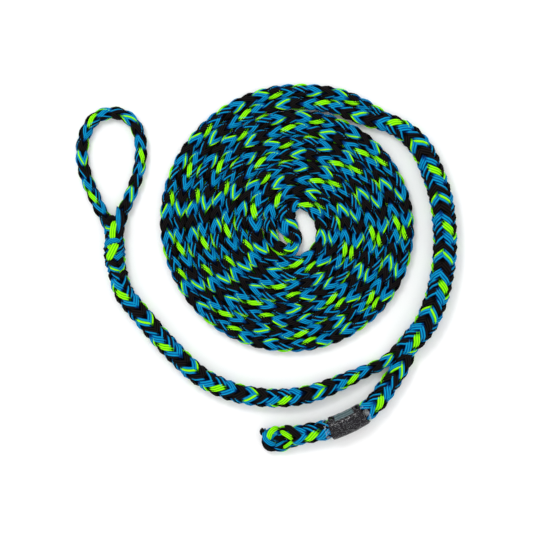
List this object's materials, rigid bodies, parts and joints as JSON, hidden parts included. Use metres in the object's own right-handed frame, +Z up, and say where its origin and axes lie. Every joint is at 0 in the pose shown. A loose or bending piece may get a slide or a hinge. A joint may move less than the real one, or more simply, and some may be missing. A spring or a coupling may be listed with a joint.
{
  "type": "adjustable spliced tow rope",
  "caption": "Hollow-braid tow rope laid flat: a spliced fixed eye, a long hollow throat that a doubled coiled loop runs through, and a labelled tail with a stopper eye.",
  "frame": {"origin": "on the surface that the rope lies on, under the middle of its bounding box", "axes": "+Z up from the surface; +X from the fixed eye towards the throat; +Y from the tail towards the top of the coil"},
  "size_m": [0.3791, 0.3642, 0.0236],
  "materials": {
    "braid": "satin braided yarn in blue, black and neon green",
    "braid_inside": "the same braid, squeezed thin inside the rope",
    "label": "satin printed film, dark grey",
    "sleeve": "clear glossy heat-shrink"
  },
  "bodies": {
    "root": {"eye_loop": "braid", "eye_throat": "braid", "tucked_stretch": "braid", "eye_tucked_tail": "braid_inside", "tucked_taper": "braid", "standing_part": "braid", "throat_cover": "braid", "throat_core": "braid_inside", "loop_leg_core_side": "braid", "loop_leg_cover_side": "braid", "loop_coil": "braid", "loop_bight": "braid", "tail_strand": "braid", "tail_tucked_end": "braid_inside", "label": "label", "clear_sleeve": "sleeve", "stopper_eye": "braid"}
  },
  "joints": []
}
